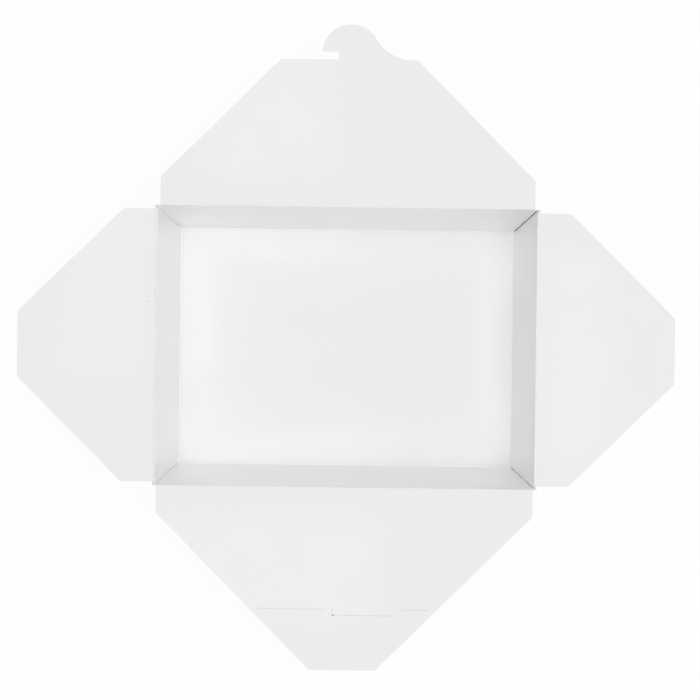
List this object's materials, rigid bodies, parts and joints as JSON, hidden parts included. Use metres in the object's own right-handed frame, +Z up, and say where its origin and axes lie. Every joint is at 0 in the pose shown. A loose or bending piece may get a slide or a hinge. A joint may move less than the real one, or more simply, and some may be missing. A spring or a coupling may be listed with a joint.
{
  "type": "takeout food box",
  "caption": "Shallow folded paperboard carton with leaning walls, web corners, plain end flaps, and long flaps that lock with a hook in a slit.",
  "frame": {"origin": "middle of the base's underside, on the table", "axes": "+Z up, +X along the box towards its right end wall, +Y towards the wall that carries the hook flap"},
  "size_m": [0.3728, 0.3659, 0.049],
  "materials": {
    "coated_board": "satin coated white paperboard"
  },
  "bodies": {
    "tray": {"box_tray": "coated_board"},
    "left_flap": {"left_flap": "coated_board"},
    "right_flap": {"right_flap": "coated_board"},
    "slit_flap": {"slit_flap": "coated_board"},
    "hook_flap": {"hook_flap": "coated_board"}
  },
  "joints": [
    {"name": "left_flap_fold", "type": "hinge", "parent": "tray", "child": "left_flap", "pos_m": [-0.10795, 0, 0.0476], "axis": [0, 1, 0], "range_deg": [-25, 180]},
    {"name": "right_flap_fold", "type": "hinge", "parent": "tray", "child": "right_flap", "pos_m": [0.10795, 0, 0.0476], "axis": [0, -1, 0], "range_deg": [-25, 180]},
    {"name": "slit_flap_fold", "type": "hinge", "parent": "tray", "child": "slit_flap", "pos_m": [0, -0.07949, 0.04816], "axis": [-1, 0, 0], "range_deg": [-25, 180]},
    {"name": "hook_flap_fold", "type": "hinge", "parent": "tray", "child": "hook_flap", "pos_m": [0, 0.0796, 0.04872], "axis": [1, 0, 0], "range_deg": [-25, 180]}
  ]
}
